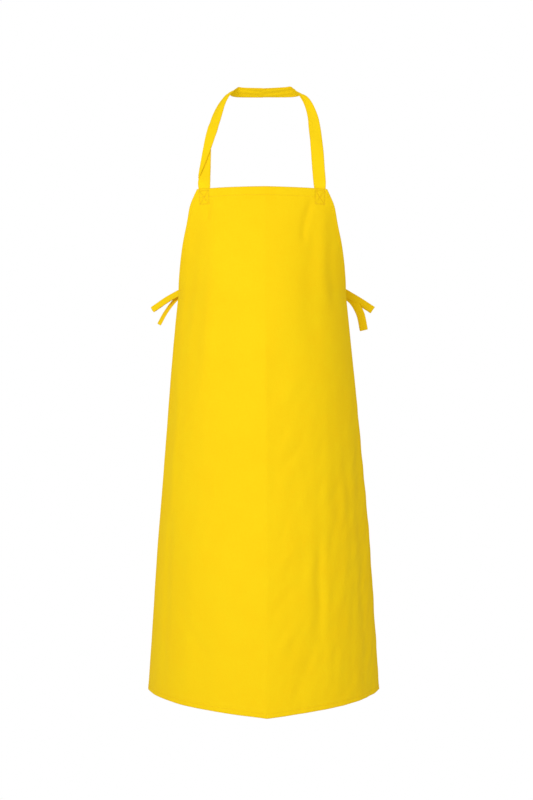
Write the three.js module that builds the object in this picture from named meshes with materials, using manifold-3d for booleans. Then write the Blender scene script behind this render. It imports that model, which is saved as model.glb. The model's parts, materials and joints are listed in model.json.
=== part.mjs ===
// A butcher's bib apron, standing in the shape it has when it is worn.
// Millimetres. +Z is up, the apron's front faces -Y and +X is at the viewer's right.
// The origin is the middle of the neck strap's inner face, at the back of the neck.
import * as THREE from 'three';
import { mergeVertices } from 'three/addons/utils/BufferGeometryUtils.js';
import Module from 'manifold-3d';

const wasm = await Module();
wasm.setup();

// cloth, tape and thread
const clothThickness = 0.7;
const hemThickness = 1.4; // the edge is turned twice, so a hem adds two layers
const tapeThickness = 1.6;
const threadWidth = 0.9;
const threadThickness = 0.4;
const layerGap = 0.3; // air left between two layers that lie on each other
const sewnGap = 0.6; // and between a hem and the thick tape sewn over it

// flat pattern of the panel
const bibTopWidth = 279;
const waistWidth = 460;
const bottomWidth = 700;
const waistDrop = 214; // from the bib's top edge down to the ties
const panelLength = 1092;
const armholeBow = 3; // how far each armhole edge bows out from a straight line
const topHemHeight = 20;
const sideHemWidth = 10;
const bottomHemHeight = 12;
const stitchInset = 2; // a seam runs this far inside the turned edge

// how the panel wraps round the wearer
const bibTopZ = -241;
const bibTopWrap = 0.39; // radians from the centre line to each edge
const waistWrap = 1.144;
const bottomWrap = 1.26;
const bibTopY = -163;
const bellyY = -182;
const bottomY = -179;
const bellyDrop = 430;

// neck strap
const neckTapeWidth = 25;
const neckTilt = THREE.MathUtils.degToRad(58); // the tape lies on the slope of the neck
const neckSpanHalf = 50; // half the straight stretch behind the neck
const strapInset = 2.5; // from the bib's side edge in to the strap
const strapSewnLength = 34;
const foldRise = 12; // the strap folds on this line above the bib's top edge
const foldEdge = 0.4; // tape thickness left at the fold
const foldTaper = 3; // length over which the tape thins towards the fold

// waist ties
const tieTapeWidth = 20;
const tieSewnLength = 30;
const tieSewnInset = 4;
const tieTackInset = 5; // from the side hem in to the stitches that hold the tie
const tieTipGap = 0.9; // from the tie's sewn end in to the tie that swings beside it
const backY = 50; // inner face of the tie at the middle of the back
const knotZ = -425;
const knotRadius = 13;
const knotDepth = 24;
const knotFullness = 0.35; // 0 would make the knot a drum, 1 a ball
const loopSpread = 8; // between the two runs of a bow loop
const loopLayer = 3.5; // the loops lie this far behind the ties, and the tails behind them
const tailLayer = 14;

// mesh steps
const panelColumns = 26;
const bibRows = 12;
const skirtRows = 11;

const { lerp, smoothstep } = THREE.MathUtils;
const group = new THREE.Group();
const cloth = { color: 0xf5ce14, roughness: 0.92, metalness: 0 };
const thread = { color: 0xe3b60c, roughness: 0.75, metalness: 0 };

function addMesh(name, geometry, finish) {
  geometry.computeVertexNormals();
  const mesh = new THREE.Mesh(geometry, new THREE.MeshStandardMaterial(finish));
  mesh.name = name;
  group.add(mesh);
}

// A thin closed solid on a grid. place(column, row, side) gives a corner: side 0 is the face
// towards -Y where columns run to +X and rows run down, and side 1 is the face behind it.
// Both faces split their squares along the same diagonal, so layers stay parallel.
function gridSolid(columns, rows, place) {
  const points = [];
  for (const side of [0, 1]) {
    for (let row = 0; row <= rows; row++) {
      for (let column = 0; column <= columns; column++) points.push(place(column, row, side));
    }
  }
  const at = (column, row, side) => (side * (rows + 1) + row) * (columns + 1) + column;
  const index = [];
  const square = (a, b, c, d) => index.push(a, b, c, a, c, d);
  for (let row = 0; row < rows; row++) {
    for (let column = 0; column < columns; column++) {
      const corners = [[column, row], [column, row + 1], [column + 1, row + 1], [column + 1, row]];
      const [a, b, c, d] = corners.map(([x, y]) => at(x, y, 0));
      const [e, f, g, h] = corners.map(([x, y]) => at(x, y, 1));
      square(a, b, c, d);
      index.push(e, g, f, e, h, g);
    }
    square(at(0, row, 1), at(0, row + 1, 1), at(0, row + 1, 0), at(0, row, 0));
    square(at(columns, row, 0), at(columns, row + 1, 0), at(columns, row + 1, 1), at(columns, row, 1));
  }
  for (let column = 0; column < columns; column++) {
    square(at(column, 0, 1), at(column, 0, 0), at(column + 1, 0, 0), at(column + 1, 0, 1));
    square(at(column, rows, 0), at(column, rows, 1), at(column + 1, rows, 1), at(column + 1, rows, 0));
  }
  const geometry = new THREE.BufferGeometry().setFromPoints(points);
  geometry.setIndex(index);
  return facingOut(geometry);
}

// A tape's path may run either way, so a solid that came out inside out is turned.
function facingOut(geometry) {
  if (toManifold(geometry).volume() >= 0) return geometry;
  const index = geometry.index.array;
  for (let i = 0; i < index.length; i += 3) [index[i], index[i + 1]] = [index[i + 1], index[i]];
  return geometry;
}

function toManifold(geometry) {
  const vertProperties = new Float32Array(geometry.attributes.position.array);
  const triVerts = new Uint32Array(geometry.index.array);
  return new wasm.Manifold(new wasm.Mesh({ numProp: 3, vertProperties, triVerts }));
}

function joined(geometries) {
  const whole = geometries.map(toManifold).reduce((sum, piece) => sum.add(piece));
  const { vertProperties, triVerts } = whole.getMesh();
  const geometry = new THREE.BufferGeometry();
  geometry.setAttribute('position', new THREE.BufferAttribute(vertProperties, 3));
  geometry.setIndex(new THREE.BufferAttribute(triVerts, 1));
  return geometry;
}

// ---- panel ----

function halfWidth(drop) {
  if (drop < waistDrop) {
    const share = drop / waistDrop;
    return lerp(bibTopWidth, waistWidth, share) / 2 + armholeBow * Math.sin(Math.PI * share);
  }
  return lerp(waistWidth, bottomWidth, (drop - waistDrop) / (panelLength - waistDrop)) / 2;
}

function wrapAngle(drop) {
  if (drop < waistDrop) return lerp(bibTopWrap, waistWrap, drop / waistDrop);
  const share = (drop - waistDrop) / (panelLength - waistDrop);
  return lerp(waistWrap, bottomWrap, share ** 1.5);
}

function frontY(drop) {
  if (drop < bellyDrop) return lerp(bibTopY, bellyY, Math.sin((Math.PI / 2) * (drop / bellyDrop)));
  return lerp(bellyY, bottomY, smoothstep(drop, bellyDrop, panelLength));
}

// A point of the worn panel: across the cloth from its centre line, down from the bib's top
// edge, and in from its outer face.
function wornPoint(across, drop, depth) {
  const radius = halfWidth(drop) / wrapAngle(drop);
  const turn = across / radius;
  const reach = radius - depth;
  return new THREE.Vector3(
    reach * Math.sin(turn),
    frontY(drop) + radius - reach * Math.cos(turn),
    bibTopZ - drop,
  );
}

function columnAcross(column, drop) {
  const half = halfWidth(drop);
  if (column === 0) return -half;
  if (column === panelColumns) return half;
  return (half - sideHemWidth) * ((2 * (column - 1)) / (panelColumns - 2) - 1);
}

function evenSteps(from, to, count) {
  return Array.from({ length: count + 1 }, (_, i) => lerp(from, to, i / count));
}

const bibDrops = [0, ...evenSteps(topHemHeight, waistDrop, bibRows)];
const skirtDrops = [...evenSteps(waistDrop, panelLength - bottomHemHeight, skirtRows), panelLength];
const panelDrops = [...bibDrops, ...skirtDrops.slice(1)];
const hemDepth = clothThickness + layerGap;
const sewnDepth = hemDepth + hemThickness + sewnGap;

function layer(name, drops, columns, acrossAt, depth, thickness, finish) {
  const place = (column, row, side) =>
    wornPoint(acrossAt(column, drops[row]), drops[row], depth + side * thickness);
  addMesh(name, gridSolid(columns, drops.length - 1, place), finish);
}

layer('body_panel', panelDrops, panelColumns, columnAcross, 0, clothThickness, cloth);

// hems that run across, between the side hems
const innerColumns = panelColumns - 2;
function hemAcross(column, drop) {
  const across = columnAcross(column + 1, drop);
  if (column === 0) return across + layerGap;
  return column === innerColumns ? across - layerGap : across;
}
layer('top_hem', [0, topHemHeight], innerColumns, hemAcross, hemDepth, hemThickness, cloth);
const bottomHemDrops = [panelLength - bottomHemHeight, panelLength];
layer('bottom_hem', bottomHemDrops, innerColumns, hemAcross, hemDepth, hemThickness, cloth);

// seams sewn on the outer face
const threadDepth = -layerGap - threadThickness;
function seamAcross(name, drop) {
  const drops = [drop - threadWidth / 2, drop + threadWidth / 2];
  layer(name, drops, panelColumns, columnAcross, threadDepth, threadThickness, thread);
}
const topSeamDrop = topHemHeight - stitchInset;
const bottomSeamDrop = panelLength - bottomHemHeight + stitchInset;
seamAcross('top_hem_seam', topSeamDrop);
seamAcross('bottom_hem_seam', bottomSeamDrop);

const armholeDrops = [...bibDrops];
armholeDrops[armholeDrops.length - 1] -= layerGap / 2;
const sideDrops = [...skirtDrops];
sideDrops[0] += layerGap / 2;
const armholeSeamDrops = armholeDrops.filter((drop) => drop > topSeamDrop + threadWidth);
const sideSeamDrops = sideDrops.filter((drop) => drop < bottomSeamDrop - threadWidth);

for (const [side, sign] of [['left', -1], ['right', 1]]) {
  const edgeAcross = (column, drop) => {
    const outer = column === (sign < 0 ? 0 : 1);
    return sign * (halfWidth(drop) - (outer ? 0 : sideHemWidth));
  };
  const seamAlong = (column, drop) =>
    sign * (halfWidth(drop) - sideHemWidth + stitchInset) + threadWidth * (column - 0.5);
  layer(`${side}_armhole_hem`, armholeDrops, 1, edgeAcross, hemDepth, hemThickness, cloth);
  layer(`${side}_side_hem`, sideDrops, 1, edgeAcross, hemDepth, hemThickness, cloth);
  layer(`${side}_armhole_seam`, armholeSeamDrops, 1, seamAlong, threadDepth, threadThickness, thread);
  layer(`${side}_side_seam`, sideSeamDrops, 1, seamAlong, threadDepth, threadThickness, thread);
}

// ---- tacking stitches: a box, with a cross in it where the strap is sewn ----

// One run of stitching between two points given as [across, drop].
function stitchRun(from, to, depth) {
  const steps = 3;
  const along = new THREE.Vector2(to[0] - from[0], to[1] - from[1]).normalize();
  const half = threadWidth / 2;
  const place = (column, row, side) => {
    const share = column / steps;
    const sideways = (row - 0.5) * 2 * half;
    const past = (share - 0.5) * 2 * half; // runs reach half a width past their corners
    const across = lerp(from[0], to[0], share) + along.x * past - along.y * sideways;
    const drop = lerp(from[1], to[1], share) + along.y * past + along.x * sideways;
    return wornPoint(across, drop, depth + side * threadThickness);
  };
  return gridSolid(steps, 1, place);
}

function tackBox(name, [acrossFrom, acrossTo], [dropFrom, dropTo], crossed) {
  // a crossed box is sewn last, over the hem seam
  const depth = crossed ? 2 * threadDepth : threadDepth;
  const corners = [[acrossFrom, dropFrom], [acrossTo, dropFrom], [acrossTo, dropTo], [acrossFrom, dropTo]];
  const runs = corners.map((corner, i) => stitchRun(corner, corners[(i + 1) % 4], depth));
  if (crossed) {
    runs.push(stitchRun(corners[0], corners[2], depth));
    runs.push(stitchRun(corners[3], corners[1], depth));
  }
  addMesh(name, joined(runs), thread);
}

const boxTopDrop = 4;
const boxInset = 1.5;
const tieTopDrop = waistDrop - tieTapeWidth / 2;

// ---- sewn ends of the strap and ties, on the panel's inner face ----

function taper(distance) {
  return lerp(foldEdge, tapeThickness, Math.min(1, distance / foldTaper));
}

const strapFromCentre = bibTopWidth / 2 - strapInset - neckTapeWidth / 2;
const foldGap = layerGap;
const { x: foldX, y: foldY } = wornPoint(strapFromCentre, 0, sewnDepth + tapeThickness / 2);
const sewnStations = [strapSewnLength, 22, 10, 0, -foldRise / 2, foldTaper - foldRise, foldGap - foldRise];

// Above the bib's top edge the strap end turns square to the fold line.
function strapEndPoint(sign, width, drop, side) {
  const across = sign * strapFromCentre + (width * neckTapeWidth) / 2;
  const onCloth = wornPoint(across, Math.max(drop, 0), sewnDepth + tapeThickness / 2);
  const share = Math.max(0, -drop / foldRise);
  const thickness = taper(foldRise + drop - foldGap);
  const turn = (1 - share) * (across * wrapAngle(0)) / halfWidth(0);
  const atFold = new THREE.Vector3(sign * foldX + (width * neckTapeWidth) / 2, foldY, bibTopZ + foldRise);
  const point = onCloth.lerp(atFold, share);
  const offset = (side - 0.5) * thickness;
  point.x -= Math.sin(turn) * offset;
  point.y += Math.cos(turn) * offset;
  point.z = bibTopZ - drop;
  return point;
}

for (const [side, sign] of [['left', -1], ['right', 1]]) {
  const strapEnd = gridSolid(2, sewnStations.length - 1, (column, row, face) => {
    const drop = sewnStations[sewnStations.length - 1 - row];
    return strapEndPoint(sign, column - 1, drop, face);
  });
  addMesh(`${side}_strap_end`, strapEnd, cloth);
  const half = neckTapeWidth / 2 - boxInset;
  const centre = sign * strapFromCentre;
  const boxBottomDrop = strapSewnLength - boxInset;
  tackBox(`${side}_strap_stitching`, [centre - half, centre + half], [boxTopDrop, boxBottomDrop], true);

  const tieDrops = [tieTopDrop, (tieTopDrop + waistDrop) / 2, waistDrop, tieTopDrop + tieTapeWidth];
  const tieAcross = (column, drop) => {
    const share = sign < 0 ? column / 2 : 1 - column / 2;
    return sign * (halfWidth(drop) - tieSewnInset - tieSewnLength * share);
  };
  layer(`${side}_tie_end`, tieDrops, 2, tieAcross, sewnDepth, tapeThickness, cloth);
  const tackEdge = waistWidth / 2 - sideHemWidth - tieTackInset;
  const tack = [sign * (tackEdge - tieTapeWidth / 2), sign * tackEdge].sort((a, b) => a - b);
  const tackDrops = [tieTopDrop + boxInset, tieTopDrop + tieTapeWidth - boxInset];
  tackBox(`${side}_tie_stitching`, tack, tackDrops, false);
}

// ---- neck strap ----

// Paired points of the tape's two edges on the right side, from the straight stretch behind
// the neck, over the shoulder and down to the fold: the edge nearer the neck, then the other.
const spanRise = (neckTapeWidth / 2) * Math.cos(neckTilt);
const spanRun = (neckTapeWidth / 2) * Math.sin(neckTilt);
const strapPairs = [
  [[neckSpanHalf, -spanRun, spanRise], [neckSpanHalf, spanRun, -spanRise]],
  [[54.5, -11.4, 8], [65, 9.6, -5.8]],
  [[57, -12.6, 10], [75, 3, -2.5]],
  [[60, -15, 9], [80.5, -6, 0]],
  [[67.5, -23, 0], [87, -11.5, -6]],
  [[78, -33, -12.8], [95.4, -18, -14.9]],
  [[89, -46, -36.2], [104.6, -29, -31.3]],
  [[95.5, -62, -66.9], [116, -48, -63.6]],
  [[97.2, -78, -97.1], [121.3, -70, -95.2]],
  [[99.1, -93, -126.7], [124.2, -90, -126]],
  [[100.4, -106, -155.5], [126.2, -105, -155.3]],
  [[103, -123, -197.5], [128.5, -123, -197.5]],
  [[foldX - neckTapeWidth / 2, foldY, bibTopZ + foldRise + foldGap],
    [foldX + neckTapeWidth / 2, foldY, bibTopZ + foldRise + foldGap]],
];

// A tape along two edge rails. Its inner face lies on the rails and its thickness goes outwards.
function tapeSolid(stations, thicknessAt, shift = 0) {
  const mids = stations.map(([upper, lower]) => upper.clone().add(lower).multiplyScalar(0.5));
  const inner = stations.map(([upper, lower], i) => {
    const along = mids[Math.min(i + 1, mids.length - 1)].clone().sub(mids[Math.max(i - 1, 0)]);
    return along.cross(upper.clone().sub(lower)).normalize();
  });
  const place = (column, row, side) => {
    const thickness = thicknessAt(column, mids);
    const offset = shift * (tapeThickness - thickness) + side * thickness;
    return stations[column][row].clone().addScaledVector(inner[column], -offset);
  };
  return gridSolid(stations.length - 1, 1, place);
}

function railPoints(points, count) {
  const curve = new THREE.CatmullRomCurve3(points.map((p) => new THREE.Vector3(...p)), false, 'centripetal');
  return Array.from({ length: count + 1 }, (_, i) => curve.getPoint(i / count));
}

const legSteps = 30;
const upperRail = railPoints(strapPairs.map((pair) => pair[0]), legSteps);
const lowerRail = railPoints(strapPairs.map((pair) => pair[1]), legSteps);
const rightLeg = upperRail.map((point, i) => [point, lowerRail[i]]);
const mirrorX = (point) => point.clone().multiply(new THREE.Vector3(-1, 1, 1));
const leftLeg = rightLeg.map((pair) => pair.map(mirrorX)).reverse();
const spanMiddle = [[new THREE.Vector3(0, -spanRun, spanRise), new THREE.Vector3(0, spanRun, -spanRise)]];
const strapStations = [...leftLeg, ...spanMiddle, ...rightLeg];
const strapThickness = (i, mids) =>
  taper(Math.min(mids[i].distanceTo(mids[0]), mids[i].distanceTo(mids[mids.length - 1])));
addMesh('neck_strap', tapeSolid(strapStations, strapThickness, 0.5), cloth);

// ---- waist ties, tied in a bow behind the back ----

// A tape with its width upright, along a path of [x, y, z] points on its middle line.
function uprightTape(points, width, count, tipLength = 0) {
  const curve = new THREE.CatmullRomCurve3(points.map((p) => new THREE.Vector3(...p)), false, 'centripetal');
  const stations = Array.from({ length: count + 1 }, (_, i) => {
    const middle = curve.getPointAt(i / count);
    const along = curve.getTangentAt(i / count);
    const level = new THREE.Vector3(along.x, along.y, 0).normalize();
    const face = level.clone().cross(new THREE.Vector3(0, 0, 1));
    const across = face.cross(along).normalize().multiplyScalar(width / 2);
    const fromStart = middle.distanceTo(curve.getPoint(0));
    if (fromStart < tipLength) across.multiplyScalar(Math.max(tipShare, fromStart / tipLength));
    return [middle.clone().sub(across), middle.clone().add(across)];
  });
  return stations.map(([a, b]) => (a.z > b.z ? [a, b] : [b, a]));
}

const seamPoint = wornPoint(waistWidth / 2 - tieSewnInset, waistDrop, sewnDepth + tapeThickness);
const tieStartX = seamPoint.x - tapeThickness - tieTipGap;
const tieStartY = seamPoint.y;
const tieStartZ = seamPoint.z;
const bandSteps = 20;
const loopSteps = 14;
const tailSteps = 16;
const tipShare = 0.1; // the tie is cut to a point where it hinges on the side seam
const knotMiddleY = backY - tapeThickness + knotDepth / 2;
const loopY = backY + loopLayer;
const tailY = backY + tailLayer;
const loopRoot = knotRadius + layerGap;

function knotRadiusAt(y) {
  const aside = (y - knotMiddleY) / (knotDepth / 2);
  return knotRadius * Math.sqrt(1 - aside ** 2) ** knotFullness;
}
const bandEndX = knotRadiusAt(backY + tapeThickness / 2) + layerGap;

// The tie follows the wearer's waist from the side seam to the knot.
function bandPoint(angle, sign) {
  return [
    sign * tieStartX * Math.cos(angle),
    tieStartY + (backY - tieStartY) * Math.sin(angle),
    lerp(tieStartZ, knotZ, smoothstep(angle, 0, Math.PI / 2)),
  ];
}

// The two runs and the rounded end of a bow loop, as one closed ring of tape seen from above.
function loopSolid(sign, middle) {
  const curve = new THREE.CatmullRomCurve3(middle.map((p) => new THREE.Vector3(...p)), false, 'centripetal');
  const outline = evenSteps(0, 1, loopSteps).map((at) => ({ at, run: -1, past: 0 }));
  for (const angle of evenSteps(0, Math.PI, 4).slice(1, -1)) {
    outline.push({ at: 1, run: -Math.cos(angle), past: Math.sin(angle) });
  }
  outline.push(...evenSteps(1, 0, loopSteps).map((at) => ({ at, run: 1, past: 0 })));
  const halfSpread = loopSpread / 2;
  const place = (column, row, side) => {
    const { at, run, past } = outline[column];
    const point = curve.getPointAt(at);
    const along = curve.getTangentAt(at);
    const across = new THREE.Vector3(-along.z, 0, along.x).multiplyScalar(sign);
    const open = smoothstep(at, 0, 0.12) * 0.7 + 0.3;
    const spread = (halfSpread - (side === 0 ? tapeThickness : 0)) * open;
    point.addScaledVector(across, (0.5 - row) * tieTapeWidth);
    point.addScaledVector(along, past * spread);
    point.y += run * spread;
    return point;
  };
  return gridSolid(outline.length - 1, 1, place);
}

const ties = {
  left: {
    sign: -1,
    loop: [[-loopRoot, knotZ], [-90, -419], [-165, -428], [-212, -449], [-251, -475]],
    tail: [[-loopRoot, knotZ], [-90, -422], [-160, -430], [-196, -449], [-222, -480], [-239, -510]],
  },
  right: {
    sign: 1,
    loop: [[loopRoot, knotZ], [90, -419], [165, -430], [210, -453], [246, -476]],
    tail: [[loopRoot, knotZ], [90, -422], [160, -430], [200, -452], [220, -484], [229, -523]],
  },
};

for (const [side, { sign, loop, tail }] of Object.entries(ties)) {
  const angles = evenSteps(0, Math.acos(bandEndX / tieStartX), bandSteps);
  const band = uprightTape(angles.map((angle) => bandPoint(angle, sign)), tieTapeWidth, bandSteps, tieTapeWidth / 2);
  const bandStations = sign > 0 ? band.reverse() : band;
  addMesh(`${side}_tie_band`, tapeSolid(bandStations, () => tapeThickness), cloth);
  const middle = loop.map(([x, z]) => [x, loopY + loopSpread / 2, z]);
  addMesh(`${side}_bow_loop`, loopSolid(sign, middle), cloth);
  const tailStations = uprightTape(tail.map(([x, z]) => [x, tailY, z]), tieTapeWidth, tailSteps);
  if (sign < 0) tailStations.reverse();
  addMesh(`${side}_tie_tail`, tapeSolid(tailStations, () => tapeThickness), cloth);
}

const knotSteps = 8;
const knotProfile = evenSteps(0, Math.PI, knotSteps).map(
  (angle) => new THREE.Vector2(knotRadius * Math.sin(angle) ** knotFullness, (-knotDepth / 2) * Math.cos(angle)),
);
const knot = new THREE.LatheGeometry(knotProfile, 20);
knot.deleteAttribute('normal');
knot.deleteAttribute('uv');
knot.translate(0, knotMiddleY, knotZ);
addMesh('bow_knot', facingOut(mergeVertices(knot, 1e-4)), cloth);

export default group;
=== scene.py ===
# A butcher's bib apron in the shape it has when it is worn.
# Metres, in the frame's own axes: +Z up, the apron's front towards -Y, +X at the viewer's right.
import json
import math
import bmesh
import bpy
import numpy as np
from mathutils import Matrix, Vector, noise


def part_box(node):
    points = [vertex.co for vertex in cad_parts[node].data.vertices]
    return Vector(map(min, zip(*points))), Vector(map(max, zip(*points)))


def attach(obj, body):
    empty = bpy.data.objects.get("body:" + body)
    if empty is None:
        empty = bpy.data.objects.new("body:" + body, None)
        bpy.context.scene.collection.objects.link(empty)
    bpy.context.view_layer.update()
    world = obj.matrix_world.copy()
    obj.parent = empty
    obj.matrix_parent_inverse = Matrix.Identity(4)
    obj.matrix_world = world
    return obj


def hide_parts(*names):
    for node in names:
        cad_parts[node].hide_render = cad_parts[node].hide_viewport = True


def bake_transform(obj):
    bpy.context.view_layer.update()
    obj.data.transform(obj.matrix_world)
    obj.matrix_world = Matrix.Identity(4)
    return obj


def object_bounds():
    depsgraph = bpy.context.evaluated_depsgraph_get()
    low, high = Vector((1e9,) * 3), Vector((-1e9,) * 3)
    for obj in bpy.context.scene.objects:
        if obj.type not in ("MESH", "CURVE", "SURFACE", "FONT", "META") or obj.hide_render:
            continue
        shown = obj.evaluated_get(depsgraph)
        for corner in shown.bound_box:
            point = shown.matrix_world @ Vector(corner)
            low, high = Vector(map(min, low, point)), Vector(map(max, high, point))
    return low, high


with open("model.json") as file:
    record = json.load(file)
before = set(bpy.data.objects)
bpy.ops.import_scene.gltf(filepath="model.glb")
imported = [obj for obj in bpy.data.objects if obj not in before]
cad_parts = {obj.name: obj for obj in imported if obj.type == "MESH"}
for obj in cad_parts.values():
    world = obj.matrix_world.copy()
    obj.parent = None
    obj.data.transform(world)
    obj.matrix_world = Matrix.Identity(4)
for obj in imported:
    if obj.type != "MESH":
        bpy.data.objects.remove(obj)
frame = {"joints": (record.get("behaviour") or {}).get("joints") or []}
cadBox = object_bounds()
scene = bpy.context.scene
sides = (("left", -1), ("right", 1))


def newObject(name, data):
    made = bpy.data.objects.new(name, data)
    scene.collection.objects.link(made)
    return made


def jointPlace(name):
    return Vector([joint["pos_m"] for joint in frame["joints"] if joint["name"] == name][0])


# camera

cameraView = {"place": (0.0065, -2.28, -0.683), "lens": 46.08, "sensor": 36.0}


def makeCamera(values):
    data = bpy.data.cameras.new("camera")
    data.lens = values["lens"]
    data.sensor_width = values["sensor"]
    camera = newObject("camera", data)
    camera.location = values["place"]
    camera.rotation_euler = (math.pi / 2, 0, 0)
    scene.camera = camera


makeCamera(cameraView)
print("camera in place")


# curves, tapes and closed sheets

def lerp(start, end, share):
    return start + (end - start) * share


def eased(share):
    held = np.clip(share, 0, 1)
    return held * held * (3 - 2 * held)


def bell(distance, width):
    return np.exp(-0.5 * (distance / width) ** 2)


def window(value, low, high, rise, fall):  # 1 between low and high, easing in and out inside them
    return eased((value - low) / rise) * eased((high - value) / fall)


def unit(vectors):
    return vectors / np.maximum(np.linalg.norm(vectors, axis=-1, keepdims=True), 1e-9)


def lengthsAlong(path):
    steps = np.linalg.norm(np.diff(path, axis=0), axis=1)
    return np.concatenate([[0], np.cumsum(steps)])


def smoothPath(points, count):  # a curve through the points, count steps between each two
    known = np.array(points, float)
    known = np.vstack([2 * known[0] - known[1], known, 2 * known[-1] - known[-2]])
    shares = np.linspace(0, len(points) - 1, count * (len(points) - 1) + 1)
    first = np.minimum(shares.astype(int), len(points) - 2)
    local = (shares - first)[:, None]
    a, b, c, d = (known[first + i] for i in range(4))
    before, step, after = (
        np.sqrt(np.linalg.norm(q - p, axis=1))[:, None] for p, q in ((a, b), (b, c), (c, d))
    )
    leave = ((b - a) / before - (c - a) / (before + step) + (c - b) / step) * step
    arrive = ((c - b) / step - (d - b) / (step + after) + (d - c) / after) * step
    square, cube = local**2, local**3
    return (
        (2 * cube - 3 * square + 1) * b
        + (cube - 2 * square + local) * leave
        + (3 * square - 2 * cube) * c
        + (cube - square) * arrive
    )


def spacedPath(path, count):  # the same path as count steps of one length
    along = lengthsAlong(path)
    at = np.linspace(0, along[-1], count + 1)
    return np.stack([np.interp(at, along, path[:, i]) for i in range(3)], axis=1)


def boundary(rows, columns):  # the grid's rim, as row and column numbers in order
    top = [(0, c) for c in range(columns - 1)]
    right = [(r, columns - 1) for r in range(rows - 1)]
    bottom = [(rows - 1, c) for c in range(columns - 1, 0, -1)]
    left = [(r, 0) for r in range(rows - 1, 0, -1)]
    return np.array(top + right + bottom + left)


def closedSheet(name, front, back, cut, edge, material):
    # front and back are grids of points; a round rim joins them.
    # cut is each point's place on the flat cloth, and edge is 1 on a cloth edge or seam, which the finish
    # darkens for wear and, at the turned edges and stitching, as painted shade.
    rows, columns = front.shape[:2]
    count = rows * columns
    rim = boundary(rows, columns)
    rimRows, rimColumns = rim[:, 0], rim[:, 1]
    inRows, inColumns = np.clip(rimRows, 1, rows - 2), np.clip(rimColumns, 1, columns - 2)
    middle = (front + back) / 2
    outward = unit(middle[rimRows, rimColumns] - middle[inRows, inColumns])
    halfThick = np.linalg.norm(front - back, axis=2)[rimRows, rimColumns][:, None] / 2
    rimPoints = middle[rimRows, rimColumns] + outward * halfThick
    points = np.concatenate([front.reshape(-1, 3), back.reshape(-1, 3), rimPoints])
    number = np.arange(count).reshape(rows, columns)
    a, b, c, d = number[:-1, :-1], number[1:, :-1], number[1:, 1:], number[:-1, 1:]
    faces = np.stack([a, b, c, d], axis=-1).reshape(-1, 4)
    behind = faces[:, ::-1] + count
    ring = number[rimRows, rimColumns]
    nextRing = np.roll(ring, -1)
    rimNumber = 2 * count + np.arange(len(ring))
    nextRim = np.roll(rimNumber, -1)
    outer = np.stack([ring, nextRing, nextRim, rimNumber], axis=-1)
    inner = np.stack([rimNumber, nextRim, nextRing + count, ring + count], axis=-1)
    allFaces = np.concatenate([faces, behind, outer, inner])
    flat = cut.reshape(-1, 2)
    places = np.concatenate([flat, flat, flat[ring]])
    # the rim is marked fully: wear, and painted shade where the cloth turns away
    wearAndShade = np.concatenate([edge.ravel(), edge.ravel(), np.ones(len(ring))])
    return meshPiece(name, points, allFaces, places, wearAndShade, material)


def meshPiece(name, points, faces, cut, edge, material):
    mesh = bpy.data.meshes.new(name)
    mesh.from_pydata(points.tolist(), [], [list(face) for face in faces])
    shape = bmesh.new()
    shape.from_mesh(mesh)
    if shape.calc_volume(signed=True) < 0:
        bmesh.ops.reverse_faces(shape, faces=shape.faces[:])
    shape.to_mesh(mesh)
    shape.free()
    corner = np.empty(len(mesh.loops), np.int32)
    mesh.loops.foreach_get("vertex_index", corner)
    mesh.uv_layers.new(name="cut").uv.foreach_set("vector", cut[corner].astype(np.float32).ravel())
    mesh.attributes.new("edge", "FLOAT", "POINT").data.foreach_set("value", edge.astype(np.float32))
    mesh.shade_smooth()
    mesh.materials.append(material)
    return newObject(name, mesh)


def tapePiece(name, grid, thickness, material):
    # grid holds, for each station along the tape, the points of its middle layer from edge to edge
    alongStep = np.gradient(grid, axis=0)
    acrossStep = np.gradient(grid, axis=1)
    outward = unit(np.cross(alongStep, acrossStep))
    share = np.linspace(-1, 1, grid.shape[1])
    half = thickness / 2 * (1 - 0.45 * share**8)[None, :, None]  # its folded edges are rounded
    along = lengthsAlong(grid.mean(axis=1))
    width = np.linalg.norm(np.diff(grid, axis=1), axis=2).sum(axis=1).max()
    cut = np.stack(np.meshgrid(along, share * width / 2, indexing="ij"), axis=-1)
    # the tape's folded edges are marked darker: wear, and painted shade where they turn away
    edge = np.broadcast_to(np.clip((abs(share) - 0.8) / 0.2, 0, 1) ** 2, grid.shape[:2])
    return closedSheet(name, grid + outward * half, grid - outward * half, cut, edge, material)


# nodes

def feed(tree, socket, value):  # another node's socket is linked, and a plain value is set
    if isinstance(value, bpy.types.NodeSocket):
        tree.links.new(value, socket)
    else:
        socket.default_value = value


def nodeOf(tree, kind, given=None, **settings):
    node = tree.nodes.new(kind)
    for key, value in settings.items():
        setattr(node, key, value)
    for key, value in (given or {}).items():
        feed(tree, node.inputs[key], value)
    return node


def addSockets(tree, way, kinds):
    for name, kind in kinds.items():
        tree.interface.new_socket(name, in_out=way, socket_type="NodeSocket" + kind)


def mathNode(tree, operation, first, second=None):
    given = {0: first} if second is None else {0: first, 1: second}
    return nodeOf(tree, "ShaderNodeMath", given, operation=operation).outputs[0]


def noiseNode(tree, vector, scale, detail=2.0, roughness=0.5):
    given = {"Vector": vector, "Scale": scale, "Detail": detail, "Roughness": roughness}
    return nodeOf(tree, "ShaderNodeTexNoise", given).outputs["Fac"]


def stretched(tree, vector, scale):
    return nodeOf(tree, "ShaderNodeMapping", {"Vector": vector, "Scale": scale}).outputs[0]


def mixedColour(tree, share, first, second):
    node = nodeOf(tree, "ShaderNodeMix", {"Factor": share}, data_type="RGBA")
    colours = [socket for socket in node.inputs if socket.type == "RGBA"]
    for socket, value in zip(colours, (first, second)):
        feed(tree, socket, (*value, 1) if isinstance(value, tuple) else value)
    return [socket for socket in node.outputs if socket.type == "RGBA"][0]


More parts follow.
